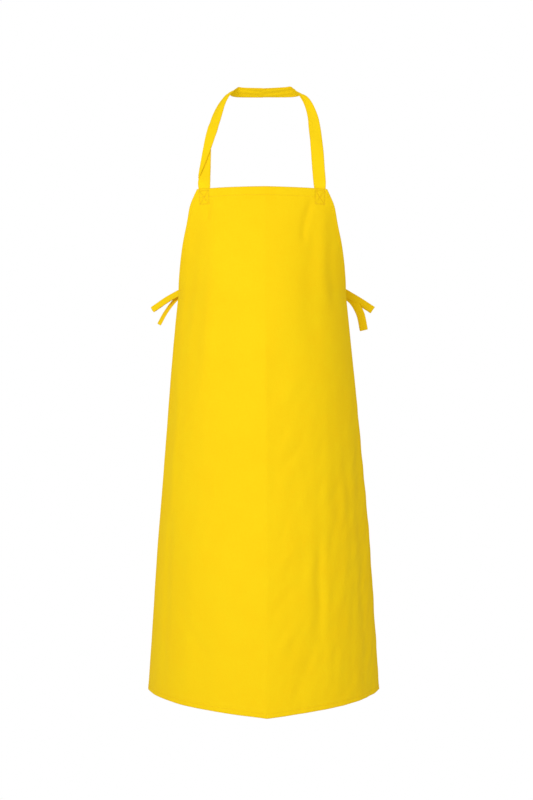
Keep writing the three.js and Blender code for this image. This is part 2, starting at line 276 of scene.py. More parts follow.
def spread(tree, value, low, high, toLow=0.0, toHigh=1.0):
    given = {"Value": value, "From Min": low, "From Max": high, "To Min": toLow, "To Max": toHigh}
    return nodeOf(tree, "ShaderNodeMapRange", given).outputs[0]


def newMaterial(name):
    material = bpy.data.materials.new(name)
    material.use_nodes = True
    return material, material.node_tree, material.node_tree.nodes["Principled BSDF"]


# weave, shared by the cloth and the tape

weaveShape = {"threadLength": 0.05, "slubScale": 900}  # a thread changes this much slower along itself


def makeWeave(values):
    # plain weave: warp and weft pass over each other in turn, and each thread is a little uneven
    group = bpy.data.node_groups.new("plainWeave", "ShaderNodeTree")
    addSockets(group, "INPUT", {"Flat Place": "Vector", "Threads Per Metre": "Float", "Unevenness": "Float"})
    addSockets(group, "OUTPUT", {"Height": "Float", "Thread Tone": "Float"})
    given = nodeOf(group, "NodeGroupInput")
    place = given.outputs["Flat Place"]
    split = nodeOf(group, "ShaderNodeSeparateXYZ", {0: place})
    waves = []
    for axis in (0, 1):
        turns = mathNode(group, "MULTIPLY", split.outputs[axis], given.outputs["Threads Per Metre"])
        waves.append(mathNode(group, "SINE", mathNode(group, "MULTIPLY", turns, math.pi)))
    crossing = mathNode(group, "MULTIPLY", waves[0], waves[1])
    lengths = ((1, values["threadLength"], 1), (values["threadLength"], 1, 1))
    warp, weft = (noiseNode(group, stretched(group, place, scale), values["slubScale"]) for scale in lengths)
    both = mathNode(group, "ADD", warp, weft)
    slub = mathNode(group, "MULTIPLY", both, given.outputs["Unevenness"])
    raised = mathNode(group, "MULTIPLY", mathNode(group, "ADD", crossing, 1), 0.5)
    height = mathNode(group, "ADD", raised, slub)
    tone = mathNode(group, "MULTIPLY", both, 0.5)
    nodeOf(group, "NodeGroupOutput", {"Height": height, "Thread Tone": tone})
    return group


weave = makeWeave(weaveShape)

clothFinish = {
    "colour": (0.895, 0.652, 0.006),
    "deepColour": (0.90, 0.585, 0.003),
    # the edge colour is partly wear and partly painted shade, dark at the turned edges and in the sunken
    # stitching
    "wornEdgeAndShadeColour": (0.76, 0.46, 0.003),
    "cloudShare": 0.3,  # how much the tone follows the clouds, the flecks and the threads
    "fleckShare": 0.28,
    "threadShare": 0.32,
    "threadsPerMetre": 2100,
    "unevenness": 0.5,
    "weaveHeight": 0.00006,
    "creaseHeight": 0.0005,
    "roughness": 0.9,
    "specular": 0.2,
    "sheen": 0.05,
    "sheenTint": (1.0, 0.93, 0.6, 1),
}
tapeFinish = {
    **clothFinish,
    # colours lighter than the cloth's: painted light, brightening the strap and ties where they sit in shade
    "colour": (0.96, 0.705, 0.007),
    "deepColour": (0.94, 0.635, 0.004),
    "threadsPerMetre": 1900,
    "creaseHeight": 0.0003,
}


def clothMaterial(name, values):
    material, tree, shader = newMaterial(name)
    flat = nodeOf(tree, "ShaderNodeUVMap", uv_map="cut").outputs[0]
    solid = nodeOf(tree, "ShaderNodeTexCoord").outputs["Object"]
    edge = nodeOf(tree, "ShaderNodeAttribute", attribute_name="edge").outputs["Fac"]
    woven = nodeOf(tree, "ShaderNodeGroup", {
        "Flat Place": flat,
        "Threads Per Metre": values["threadsPerMetre"],
        "Unevenness": values["unevenness"],
    }, node_tree=weave)
    clouds = spread(tree, noiseNode(tree, solid, 14, 3.0, 0.6), 0.35, 0.7)
    flecks = spread(tree, noiseNode(tree, flat, 260, 3.0, 0.7), 0.3, 0.7)
    thread = spread(tree, woven.outputs["Thread Tone"], 0.35, 0.65)
    parts = ((clouds, "cloudShare"), (flecks, "fleckShare"), (thread, "threadShare"))
    tones = [mathNode(tree, "MULTIPLY", part, values[share]) for part, share in parts]
    tone = mathNode(tree, "ADD", mathNode(tree, "ADD", tones[0], tones[1]), tones[2])
    base = mixedColour(tree, tone, values["colour"], values["deepColour"])
    # the edge attribute darkens the colour: wear, and painted shade along the turned edges and sunken stitch
    # lines
    wearAndShadeShare = mathNode(tree, "MULTIPLY", edge, spread(tree, flecks, 0, 1, 0.35, 0.75))
    rough = values["roughness"]
    creases = nodeOf(tree, "ShaderNodeBump", {
        "Strength": 0.5,
        "Distance": values["creaseHeight"],
        "Height": noiseNode(tree, stretched(tree, solid, (1, 1, 0.5)), 70, 3.0, 0.55),
    })
    threads = nodeOf(tree, "ShaderNodeBump", {
        "Strength": 0.6,
        "Distance": values["weaveHeight"],
        "Height": woven.outputs["Height"],
        "Normal": creases.outputs[0],
    })
    shaderInputs = {
        "Base Color": mixedColour(tree, wearAndShadeShare, base, values["wornEdgeAndShadeColour"]),
        "Roughness": spread(tree, flecks, 0, 1, rough - 0.06, rough + 0.05),
        "Specular IOR Level": values["specular"],
        "Sheen Weight": values["sheen"],
        "Sheen Roughness": 0.5,
        "Sheen Tint": values["sheenTint"],
        "Normal": threads.outputs[0],
    }
    for key, value in shaderInputs.items():
        feed(tree, shader.inputs[key], value)
    return material


threadFinish = {
    "colour": (0.89, 0.61, 0.005),
    # the deep colour is painted shade: it falls in the low bands between the plies
    "deepColour": (0.79, 0.50, 0.003),
    "pliesPerMetre": 2600,
    "plyHeight": 0.0001,
}


def threadMaterial(values):
    material, tree, shader = newMaterial("sewingThread")
    plies = nodeOf(tree, "ShaderNodeTexWave", {
        "Vector": nodeOf(tree, "ShaderNodeTexCoord").outputs["Object"],
        "Scale": values["pliesPerMetre"] / (2 * math.pi),
        "Distortion": 1.5,
    }, wave_type="BANDS", bands_direction="DIAGONAL").outputs["Fac"]
    # darker where the plies sink: painted shade between the plies
    colour = mixedColour(tree, plies, values["deepColour"], values["colour"])
    twist = nodeOf(tree, "ShaderNodeBump", {"Distance": values["plyHeight"], "Height": plies})
    feed(tree, shader.inputs["Base Color"], colour)
    feed(tree, shader.inputs["Roughness"], spread(tree, plies, 0, 1, 0.62, 0.5))
    feed(tree, shader.inputs["Normal"], twist.outputs[0])
    return material


panelCloth = clothMaterial("panelCloth", clothFinish)
tapeCloth = clothMaterial("tapeCloth", tapeFinish)
sewingThread = threadMaterial(threadFinish)
print("cloth, tape and thread finishes made")


# the bow: its tails are free cords, and they hang first

tieTape = {"width": 0.020, "thickness": 0.0016, "columns": 13}
backY = 0.050  # inner face of the ties at the middle of the back
knotCentre = Vector((0, 0.0604, -0.425))

bowTails = {
    "left": [(-0.0133, -0.425), (-0.090, -0.422), (-0.160, -0.430), (-0.196, -0.449), (-0.222, -0.480),
             (-0.239, -0.510)],
    "right": [(0.0133, -0.425), (0.090, -0.422), (0.160, -0.430), (0.200, -0.452), (0.220, -0.484),
              (0.229, -0.523)],
}
tailShape = {
    "depth": 0.0648,
    "root": 0.004,
    "gather": 0.035,
    "pinch": 0.6,
    "pleat": 0.0011,
    "crown": 0.0009,
    "ripple": (42, 0.7),  # how fast the tape's crown comes and goes, and where it starts
    "curl": 0.0035,
    "turn": {"left": 58, "right": -32},
    "turnFrom": 0.3,
    "turnOver": 0.45,
}


def knotRoute(points, sign, values):  # the tape's line, with its first point drawn into the knot
    route = [(x, values["depth"], z) for x, z in points]
    return [(sign * values["root"], *route[0][1:]), *route[1:]]


def tapeGrid(path, up, outward, fromKnot, values):
    # the tape is drawn in and pleated at the knot, and its crown ripples along it
    along = lengthsAlong(path)
    across = np.linspace(-1, 1, tieTape["columns"])
    freed = eased(fromKnot / values["gather"])[:, None]
    sideways = across * tieTape["width"] / 2 * lerp(values["pinch"], 1, freed)
    pleats = np.cos(across * 2.5 * math.pi) * values["pleat"] * (1 - freed)
    ripple, start = values["ripple"]
    bulge = (1 - across**2) * values["crown"] * np.sin(along * ripple + start)[:, None] + pleats
    return path[:, None] + up[:, None] * sideways[..., None] + outward[:, None] * bulge[..., None]


def rolled(up, outward, turned):
    cosine, sine = (np.broadcast_to(f(turned), len(up))[:, None] for f in (np.cos, np.sin))
    return up * cosine + outward * sine, outward * cosine - up * sine


def uprightTape(path, facing, values, turned=0.0):
    # facing is the side the tape's outer face looks to, one vector for each point of the path,
    # and turned is how far the tape has rolled about its own line there, in radians
    ahead = unit(np.gradient(path, axis=0))
    up = unit(np.cross(facing, ahead))
    up = up * np.where(up[:, 2:] < 0, -1, 1)
    outward = unit(np.cross(ahead, up))
    outward = outward * np.where((outward * facing).sum(axis=1, keepdims=True) < 0, -1, 1)
    return tapeGrid(path, *rolled(up, outward, turned), lengthsAlong(path), values)


def makeTail(side, sign, values):
    path = spacedPath(smoothPath(knotRoute(bowTails[side], sign, values), 12), 90)
    share = np.linspace(0, 1, len(path))
    path[:, 1] += values["curl"] * np.sin(share * 5.2) * eased(share * 2)
    facing = np.tile([0.0, 1.0, 0.0], (len(path), 1))
    turned = math.radians(values["turn"][side]) * eased((share - values["turnFrom"]) / values["turnOver"])
    grid = uprightTape(path, facing, values, turned)
    tail = tapePiece(f"{side}TieTail", grid, tieTape["thickness"], tapeCloth)
    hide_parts(f"{side}_tie_tail")
    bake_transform(tail)
    return tail


for sideName, sideSign in sides:
    makeTail(sideName, sideSign, tailShape)
print("bow tails hung")


# the panel: one cut piece of cloth with its edges turned twice

panelCut = {
    "bibTop": 0.279,
    "waist": 0.460,
    "bottom": 0.700,
    "waistDrop": 0.214,
    "length": 1.092,
    "armholeBow": 0.0058,
    "thickness": 0.0007,
    "hemLayers": 0.0017,
    "topHem": 0.020,
    "sideHem": 0.010,
    "bottomHem": 0.012,
    "stitchInset": 0.002,
    "area": 0.60,  # of the cloth laid flat, in square metres
}
wornShape = {
    "bibTopWrap": 0.39,
    "waistWrap": 1.152,
    "bottomWrap": 1.298,
    "bibTopY": -0.163,
    "bellyY": -0.182,
    "bottomY": -0.179,
    "bellyDrop": 0.430,
    "bibLean": -0.0028,
    "waistLean": -0.0025,
    "hemLean": 0.001,
    "leanOver": 0.7,
    "wrapGrowth": 1.5,
    "cornerFlare": 0.0034,  # the strap draws the bib's top corners outwards
    "flareAt": 0.15,
    "flareWidth": 0.085,
}
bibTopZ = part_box("body_panel")[1].z


def belowWaist(drop):  # 0 at the waist, 1 at the bottom
    return (drop - panelCut["waistDrop"]) / (panelCut["length"] - panelCut["waistDrop"])


def halfWidth(drop):
    share = np.clip(drop / panelCut["waistDrop"], 0, 1)
    bib = lerp(panelCut["bibTop"], panelCut["waist"], share) / 2
    bib = bib + panelCut["armholeBow"] * np.sin(math.pi * share)
    bib = bib + wornShape["cornerFlare"] * bell(share - wornShape["flareAt"], wornShape["flareWidth"])
    below = belowWaist(drop)
    return np.where(below < 0, bib, lerp(panelCut["waist"], panelCut["bottom"], below) / 2)


def wrapAngle(drop):
    bib = lerp(wornShape["bibTopWrap"], wornShape["waistWrap"], drop / panelCut["waistDrop"])
    below = belowWaist(drop)
    growth = np.clip(below, 0, 1) ** wornShape["wrapGrowth"]
    return np.where(below < 0, bib, lerp(wornShape["waistWrap"], wornShape["bottomWrap"], growth))


def frontY(drop):
    belly = wornShape["bellyDrop"]
    rounding = np.sin(math.pi / 2 * np.clip(drop / belly, 0, 1))
    above = lerp(wornShape["bibTopY"], wornShape["bellyY"], rounding)
    below = eased((drop - belly) / (panelCut["length"] - belly))
    return np.where(drop < belly, above, lerp(wornShape["bellyY"], wornShape["bottomY"], below))


# the strap's sewn end: a box with a cross in it; the tie's is a plain box
tackBox = {
    "strapHalf": 0.0107,
    "strapTop": 0.0045,
    "strapBottom": 0.0325,
    "tieFar": 0.015,
    "tieNear": 0.0250,
    "tieHalf": 0.0085,
    "groove": 0.0009,
    "grooveWidth": 0.0011,
}
neckStrap = {
    "width": 0.025,
    "thickness": 0.0016,
    "columns": 27,
    "sewnLength": 0.034,
    "fromCentre": 0.1245,
    "depth": 0.0033,  # of its middle layer behind the bib's outer face
    "twistTop": -0.080,
    "twistBottom": -0.223,
    "twistGap": 0.0012,
    "flapPower": 1.3,  # how the front flap shrinks down the twist
    "behindPower": 0.7,  # and how the part behind it grows
    "wrinkle": 0.0004,
    "crown": 0.0007,
    "ridge": -0.0022,
}


def boxRuns(centre, values):
    left, right = centre - values["strapHalf"], centre + values["strapHalf"]
    return tackRuns(left, right, values["strapTop"], values["strapBottom"], True)


def tackRuns(left, right, top, bottom, crossed):
    corners = [(left, top), (right, top), (right, bottom), (left, bottom)]
    runs = [(corners[i], corners[(i + 1) % 4]) for i in range(4)]
    return runs + [(corners[0], corners[2]), (corners[3], corners[1])] if crossed else runs


# a fold's start and end on the flat cloth, each (across, drop), and its bend, width and height
folds = [
    # from the strap boxes
    ((-0.108, 0.028), (-0.115, 0.066), 0.002, 0.0050, -0.0036),
    ((-0.106, 0.040), (-0.134, 0.420), -0.010, 0.016, 0.0038),
    ((-0.146, 0.050), (-0.196, 0.300), -0.004, 0.013, -0.0022),
    ((0.110, 0.024), (0.086, 0.115), 0.005, 0.006, -0.0030),
    ((0.118, 0.060), (0.108, 0.330), 0.008, 0.014, -0.0021),
    ((0.134, 0.036), (0.148, 0.240), 0.006, 0.013, 0.0024),
    ((0.150, 0.060), (0.176, 0.260), 0.004, 0.012, -0.0014),
    # across the belly and down the skirt
    ((0.010, 0.480), (0.075, 0.400), 0.004, 0.009, 0.0015),
    ((0.012, 0.520), (0.050, 0.500), 0.002, 0.008, -0.0011),
    ((0.045, 0.330), (0.030, 0.470), 0.006, 0.018, -0.0017),
    ((0.127, 0.720), (0.124, 0.970), 0.004, 0.007, -0.0024),
    ((0.112, 0.900), (0.060, 1.080), -0.010, 0.008, -0.0018),
    ((0.146, 0.560), (0.142, 1.060), 0.008, 0.010, 0.0019),
    ((0.204, 0.560), (0.214, 1.000), -0.004, 0.010, -0.0013),
    ((0.165, 0.760), (0.176, 1.085), 0.003, 0.014, 0.0010),
    ((0.245, 0.500), (0.270, 1.060), 0.006, 0.014, -0.0025),
    ((0.022, 0.790), (0.075, 0.735), 0.005, 0.007, 0.0014),
    ((0.018, 0.880), (0.062, 0.820), 0.004, 0.007, -0.0013),
    ((-0.212, 0.380), (-0.236, 0.700), -0.006, 0.009, 0.0012),
    ((-0.232, 0.680), (-0.250, 1.070), 0.005, 0.009, -0.0012),
    ((-0.150, 0.700), (-0.170, 1.085), 0.006, 0.020, 0.0020),
    ((-0.070, 0.860), (-0.078, 1.085), -0.006, 0.022, -0.0018),
    ((0.103, 0.680), (0.100, 0.960), 0.004, 0.009, 0.0014),
    ((0.020, 0.600), (0.090, 0.520), 0.006, 0.008, -0.0014),
    ((0.030, 0.960), (0.085, 0.880), 0.004, 0.008, 0.0015),
    ((-0.190, 0.880), (-0.120, 0.990), 0.006, 0.010, -0.0012),
]
foldWander = ((0.0022, 31, 90), (0.0012, 67, 40))  # how a fold's line sways: reach, waves, shift by fold
creaseShape = {
    "across": 0.0065,
    "roof": 0.0062,
    "roofWidth": 0.036,
    "press": 0.00022,
    "pressWidth": 0.0022,
    "onBib": 0.45,  # its strength there, full below
    "fullFrom": 0.20,
    "fullOver": 0.16,
}
hemRise = {
    "rise": 0.0054,
    "kink": 0.0032,
    "kinkWidth": 0.060,
    "point": 0.3,
    "pointWidth": 0.018,
    "from": 0.60,
    "sideFall": 0.7,  # the rise fades towards the sides
    "sideFrom": 0.22,
    "sideOver": 0.13,
}
undulation = {
    "swell": 0.0022,
    "swellSize": (0.075, 0.26),  # across and down the cloth
    "swellOnBib": 0.45,
    "crumple": 0.0015,
    "crumpleSize": (0.020, 0.044),
    "crumpleOnLeft": 0.22,
    "slant": 0.35,
    "seed": 3.7,
}
armholeCurl = {"drop": 0.0032, "width": 0.020, "from": 0.02, "to": 0.225, "rise": 0.06, "fall": 0.10}
seamPucker = {"raised": 0.00018, "pull": 0.00012, "uneven": 0.00016, "drift": 0.0001, "width": 0.0024}


def foldHeight(across, drop, start, end, bend, width, height):
    run = np.subtract(end, start)
    length = math.hypot(*run)
    ahead = run / length
    along = ((across - start[0]) * ahead[0] + (drop - start[1]) * ahead[1]) / length
    aside = -(across - start[0]) * ahead[1] + (drop - start[1]) * ahead[0]
    aside = aside - bend * np.sin(math.pi * np.clip(along, 0, 1))
    for reach, waves, shift in foldWander:
        aside = aside + reach * np.sin(drop * waves + start[0] * shift)
    return height * bell(aside, width) * window(along, -0.12, 1.12, 0.34, 0.34)


def noiseAt(across, drop, wide, tall, seed):
    flatAcross, flatDrop = np.ravel(across / wide), np.ravel(drop / tall)
    found = [noise.noise(Vector((a, d, seed))) for a, d in zip(flatAcross, flatDrop)]
    return np.reshape(found, np.shape(across))


def relief(across, drop):  # how far the cloth stands proud of its plain worn shape
    total = np.zeros(np.shape(across))
    for fold in folds:
        total += foldHeight(across, drop, *fold)
    fromCrease = abs(across - creaseShape["across"])
    full = eased((drop - creaseShape["fullFrom"]) / creaseShape["fullOver"])
    strength = lerp(creaseShape["onBib"], 1, full)
    total += strength * creaseShape["roof"] * np.exp(-fromCrease / creaseShape["roofWidth"])
    total += strength * creaseShape["press"] * np.exp(-fromCrease / creaseShape["pressWidth"])
    slant, seed = undulation["slant"], undulation["seed"]
    swell = noiseAt(across, drop, *undulation["swellSize"], seed)
    crumple = noiseAt(across + slant * drop, drop - slant * across, *undulation["crumpleSize"], seed + 9)
    lower = eased((drop - 0.25) / 0.5)
    rightHand = eased((across + 0.02) / 0.08)
    total += undulation["swell"] * swell * lerp(undulation["swellOnBib"], 1, lower)
    total += undulation["crumple"] * crumple * lerp(undulation["crumpleOnLeft"], 1, rightHand * lower)
    curled = window(drop, armholeCurl["from"], armholeCurl["to"], armholeCurl["rise"], armholeCurl["fall"])
    total -= armholeCurl["drop"] * bell(halfWidth(drop) - abs(across), armholeCurl["width"]) * curled
    return total + hemRelief(across, drop)


def hemRelief(across, drop):  # hems stand a little proud, and their stitches draw the cloth in
    fromSide = halfWidth(drop) - abs(across)
    fromBottom = panelCut["length"] - drop
    gaps = (
        (fromSide, panelCut["sideHem"], drop),
        (fromBottom, panelCut["bottomHem"], across),
        (drop, panelCut["topHem"], across),
    )
    total = 0
    for gap, width, runs in gaps:
        total = total + seamPucker["raised"] * eased((width - gap) / 0.002)
        pull = seamPucker["pull"] + seamPucker["uneven"] * np.sin(runs * 310) * np.sin(runs * 47)
        pull = pull + seamPucker["drift"] * np.sin(runs * 171 + 1.3)
        total = total - pull * bell(gap - (width - panelCut["stitchInset"]), seamPucker["width"])
    return total - boxGroove(across, drop)


def boxGroove(across, drop):  # the strap's box and cross are sewn tight and sink into the cloth
    total = 0
    for _, sign in sides:
        for (left, top), (right, bottom) in boxRuns(sign * neckStrap["fromCentre"], tackBox):
            run = np.array([right - left, bottom - top])
            length = math.hypot(*run)
            along = ((across - left) * run[0] + (drop - top) * run[1]) / length**2
            aside = ((across - left) * run[1] - (drop - top) * run[0]) / length
            within = window(along, -0.06, 1.06, 0.1, 0.1)
            total = np.maximum(total, tackBox["groove"] * bell(aside, tackBox["grooveWidth"]) * within)
    return total


def sunk(across, drop):  # the hem is lowest at the pressed crease and rises beside it
    aside = across - creaseShape["across"]
    point = np.exp(-abs(aside) / hemRise["pointWidth"])
    low = lerp(bell(aside, hemRise["kinkWidth"]), point, hemRise["point"])
    atSide = eased((abs(across) - hemRise["sideFrom"]) / hemRise["sideOver"])
    rise = hemRise["rise"] * (1 - low) * (1 - hemRise["sideFall"] * atSide) - hemRise["kink"] * low
    return rise * eased((drop - hemRise["from"]) / (panelCut["length"] - hemRise["from"]))


def wornPoint(across, drop, depth, proud=None):  # depth is measured inwards from the cloth's outer face
    across, drop = np.broadcast_arrays(np.asarray(across, float), np.asarray(drop, float))
    radius = halfWidth(drop) / wrapAngle(drop)
    turn = across / radius
    proud = relief(across, drop) if proud is None else proud
    reach = radius - depth + proud
    share = np.clip(drop / panelCut["waistDrop"], 0, 1)
    below = eased((drop - panelCut["waistDrop"]) / wornShape["leanOver"])
    bibLean = lerp(wornShape["bibLean"], wornShape["waistLean"], share)
    lean = lerp(bibLean, wornShape["hemLean"], below)
    x = reach * np.sin(turn) + lean
    y = frontY(drop) + radius - reach * np.cos(turn)
    return np.stack([x, y, bibTopZ - drop + sunk(across, drop)], axis=-1)


panelMesh = {
    "rowStep": 0.0016,
    "rowClear": 0.0006,  # no other row comes this near a sewn one
    "hemRows": (0.0030, 0.0165),
    "boxRowsTo": 0.046,
    "bodyRows": 180,
    "bodyColumns": 115,
    "nearBox": 0.85,  # columns are closer from here outwards, below the strap's stitching
    "nearColumns": 24,
    "layerEdge": 0.0006,  # a hem's inner fold, as the cloth steps from three layers to one
    "rounding": 0.0005,
    "roundingWidth": 0.0011,
}
# darkening along seams, in the strap's tack lines and at the cloth's edges: partly wear, partly painted shade
# in the sunken stitching and at the turned edges
panelWearAndShade = {"seam": 0.08, "tack": 0.85, "edge": 0.5, "width": 0.0012}


def stepsFromEdge(hem):  # close rows at a turned edge, its seam and the hem's inner fold
    seam = hem - panelCut["stitchInset"]
    nearSeam = [seam + step for step in (-0.0016, -0.0007, 0, 0.0007)]
    return [0.0009, 0.0028, 0.5 * seam, *nearSeam, hem - 0.0004, hem + 0.0005]


def panelGrid(values):  # places on the flat cloth, closer where it is sewn
    step = values["rowStep"]
    sideSteps = np.array(stepsFromEdge(panelCut["sideHem"]))
    topSteps = np.array(stepsFromEdge(panelCut["topHem"]))
    bottomSteps = [panelCut["length"] - gap for gap in reversed(stepsFromEdge(panelCut["bottomHem"]))]
    boxRows = np.arange(topSteps[-1] + step, values["boxRowsTo"], step)
    between = np.linspace(boxRows[-1], bottomSteps[0], values["bodyRows"])[1:-1]
    hemRows = np.arange(*values["hemRows"], step)
    hemRows = [row for row in hemRows if min(abs(row - topSteps)) > values["rowClear"]]
    drops = np.concatenate([np.sort(np.concatenate([topSteps, hemRows])), boxRows, between, bottomSteps])
    half = halfWidth(drops)[:, None]
    nearBox = np.linspace(values["nearBox"], 1, values["nearColumns"])[:-1]
    body = np.linspace(-values["nearBox"], values["nearBox"], values["bodyColumns"])[1:-1]
    middle = (half - sideSteps[-1]) * np.concatenate([-nearBox[::-1], body, nearBox])
    across = np.concatenate([-half + sideSteps, middle, (half - sideSteps)[:, ::-1]], axis=1)
    return across, np.repeat(drops[:, None], across.shape[1], axis=1)


def makePanel(values):
    across, drop = panelGrid(values)
    gaps = (halfWidth(drop) - abs(across), drop, panelCut["length"] - drop)
    hemWidths = (panelCut["sideHem"], panelCut["topHem"], panelCut["bottomHem"])
    layers = [eased((hem - gap) / values["layerEdge"] + 0.5) for gap, hem in zip(gaps, hemWidths)]
    wear = panelWearAndShade["width"]
    seams = [bell(gap - hem + panelCut["stitchInset"], wear) for gap, hem in zip(gaps, hemWidths)]
    fromEdge = np.minimum.reduce(gaps)
    rounding = values["rounding"] * bell(fromEdge, values["roundingWidth"])
    thickness = panelCut["thickness"] + panelCut["hemLayers"] * np.maximum.reduce(layers)
    proud = relief(across, drop)
    front = wornPoint(across, drop, rounding, proud)
    back = wornPoint(across, drop, thickness - rounding, proud)
    # the edge mark is wear, and painted shade in the sunken tack lines and at the turned edges
    edge = np.maximum.reduce([
        panelWearAndShade["seam"] * np.maximum.reduce(seams),
        panelWearAndShade["tack"] * boxGroove(across, drop) / tackBox["groove"],
        panelWearAndShade["edge"] * bell(fromEdge, wear),
    ])
    cut = np.stack([across, drop], axis=-1)
    panel = closedSheet("apronPanel", front, back, cut, edge, panelCloth)
    hems = [f"{side}_{hem}_hem" for side, _ in sides for hem in ("armhole", "side")]
    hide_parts("body_panel", "top_hem", "bottom_hem", *hems)
    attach(panel, "panel")
    return panel


panel = makePanel(panelMesh)
print("panel and its turned hems made")


# neck strap, sewn behind the bib at both ends

# paired points of the tape's two edges, from the span behind the neck down to the bib:
# the edge nearer the neck, then the other
rightStrapEdges = [
    ((0.050, -0.0106, 0.0102), (0.050, 0.0106, -0.0056)),
    ((0.0570, -0.0114, 0.0112), (0.067, 0.0092, -0.0053)),
    ((0.0605, -0.0126, 0.0106), (0.0775, 0.0020, -0.0054)),
    ((0.0635, -0.015, 0.0078), (0.0832, -0.006, -0.0044)),
    ((0.0690, -0.019, -0.001), (0.0882, -0.0155, -0.0075)),
    ((0.0785, -0.026, -0.0128), (0.0958, -0.025, -0.0149)),
    ((0.0895, -0.037, -0.0362), (0.1052, -0.039, -0.0313)),
    ((0.0962, -0.053, -0.0669), (0.1168, -0.057, -0.0636)),
    ((0.0978, -0.072, -0.0971), (0.1222, -0.075, -0.0952)),
    ((0.0998, -0.093, -0.1267), (0.1252, -0.090, -0.126)),
    ((0.1012, -0.106, -0.1555), (0.1274, -0.105, -0.1553)),
    ((0.1032, -0.123, -0.1975), (0.1290, -0.123, -0.1975)),
    ((0.1052, -0.1365, -0.229), (0.1304, -0.1365, -0.229)),
]
leftStrapEdges = [
    ((-0.0480, -0.0106, 0.0096), (-0.050, 0.0106, -0.0060)),
    ((-0.0530, -0.0114, 0.0102), (-0.0625, 0.0095, -0.0058)),
    ((-0.0558, -0.0126, 0.0096), (-0.0710, 0.0025, -0.0058)),
    ((-0.0585, -0.015, 0.0068), (-0.0762, -0.006, -0.0044)),
    ((-0.0640, -0.023, -0.001), (-0.0820, -0.0115, -0.0070)),
    ((-0.0735, -0.033, -0.0135), (-0.0882, -0.019, -0.0155)),
    ((-0.0836, -0.046, -0.037), (-0.0993, -0.031, -0.034)),
    ((-0.0905, -0.060, -0.066), (-0.1112, -0.049, -0.064)),
    ((-0.0965, -0.074, -0.092), (-0.1174, -0.067, -0.091)),
    ((-0.1015, -0.088, -0.120), (-0.1230, -0.083, -0.120)),
    ((-0.1055, -0.101, -0.150), (-0.1272, -0.099, -0.150)),
    ((-0.1098, -0.117, -0.188), (-0.1322, -0.117, -0.188)),
    ((-0.1122, -0.1365, -0.229), (-0.1366, -0.1365, -0.229)),
]


def sewnPairs(sign, values):  # where the strap's end lies flat behind the bib's hem
    drops = np.array([0.004, 0.012, 0.022, values["sewnLength"]])
    near = sign * (values["fromCentre"] - values["width"] / 2)
    far = sign * (values["fromCentre"] + values["width"] / 2)
    pairs = [wornPoint(np.full(4, across), drops, values["depth"]) for across in (near, far)]
    return list(zip(*pairs))


def strapHalf(sign, edges, values):  # rails of one half, from the middle of the span down
    start = ((0, -0.0106, 0.0078), (0, 0.0106, -0.0060))
    quarter = ((sign * 0.025, -0.0106, 0.0086), (sign * 0.025, 0.0106, -0.0060))
    pairs = [start, quarter, *edges, *sewnPairs(sign, values)]
    near, far = (smoothPath([pair[i] for pair in pairs], 9) for i in (0, 1))
    return near, far


def plainStations(near, far, values):
    share = np.linspace(0, 1, values["columns"])[None, :, None]
    grid = lerp(near[:, None], far[:, None], share)
    ahead = np.gradient((near + far) / 2, axis=0)
    outward = unit(np.cross(ahead, far - near))
    along = lengthsAlong((near + far) / 2)[:, None]
    across = share[..., 0] * 2 - 1
    wrinkles = values["wrinkle"] * np.sin(across * 7 + along * 60)
    wrinkles = wrinkles * eased(1 - along / 0.2) * bell(along - 0.05, 0.06)
    crown = (1 - across**2) * values["crown"] * np.sin(along * 33 + 0.4) * eased(along / 0.03)
    ridge = np.minimum((across + 1) / 0.75, (1 - across) / 1.25)  # the tape keeps a lengthwise crease
    ridge = ridge * values["ridge"] * window(along, 0.06, 0.25, 0.04, 0.12)
    calm = eased((along[-1] - along) / 0.03)
    return grid + outward[:, None] * ((wrinkles + crown + ridge) * calm)[..., None]


def twistedStations(near, far, values):
    # the left half turns over once: its neck-side edge crosses in front and becomes the outer one
    grid = plainStations(near, far, values)
    middle = (near + far) / 2
    ahead = np.gradient(middle, axis=0)
    inward = unit(near - far)
    front = unit(np.cross(ahead, inward))
    front = front * np.where(front[:, 1:2] > 0, -1, 1)
    place = (values["twistTop"] - middle[:, 2]) / (values["twistTop"] - values["twistBottom"])
    plain = np.linalg.norm(near - far, axis=1)
    for row, turned in enumerate(np.clip(place, 0, 1)):
        if turned <= 0:
            continue
        width = lerp(plain[row], values["width"], min(1, turned * 5))
        flap = width * (1 - turned ** values["flapPower"])
        behind = width * turned ** values["behindPower"]
        gap = values["twistGap"] * min(1, 10 * turned, 10 * (1 - turned))
        bendLength = math.pi * gap
        reach = np.linspace(0, flap + bendLength + behind, values["columns"])
        angle = np.clip((reach - flap) / max(bendLength, 1e-9), 0, 1) * math.pi
        aside = np.where(reach < flap, flap - reach, np.maximum(reach - flap - bendLength, 0))
        aside = aside - np.sin(angle) * gap
        forward = np.cos(angle) * gap
        grid[row] = far[row] + inward[row] * aside[:, None] + front[row] * forward[:, None]
    return grid


def makeStrap(values):
    right = plainStations(*strapHalf(1, rightStrapEdges, values), values)
    left = twistedStations(*strapHalf(-1, leftStrapEdges, values), values)
    grid = np.concatenate([left[:0:-1], right])
    strap = tapePiece("neckStrap", grid, values["thickness"], tapeCloth)
    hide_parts("neck_strap", "left_strap_end", "right_strap_end")
    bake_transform(strap)
    return strap


strap = makeStrap(neckStrap)
print("neck strap made")


# waist ties: sewn behind the side hems, round the waist and into the knot

waistTie = {
    "sewnLength": 0.030,
    "sewnInset": 0.004,
    "depth": 0.0034,
    "startX": 0.1755,
    "knotEnd": 0.004,
    "gather": 0.040,
    "pinch": 0.6,
    "pleat": 0.0011,
    "crown": 0.0008,
    "ripple": (42, 0.7),
    "sag": 0.004,  # between the seam and the knot
}
seamLine = jointPlace("ties_swing")


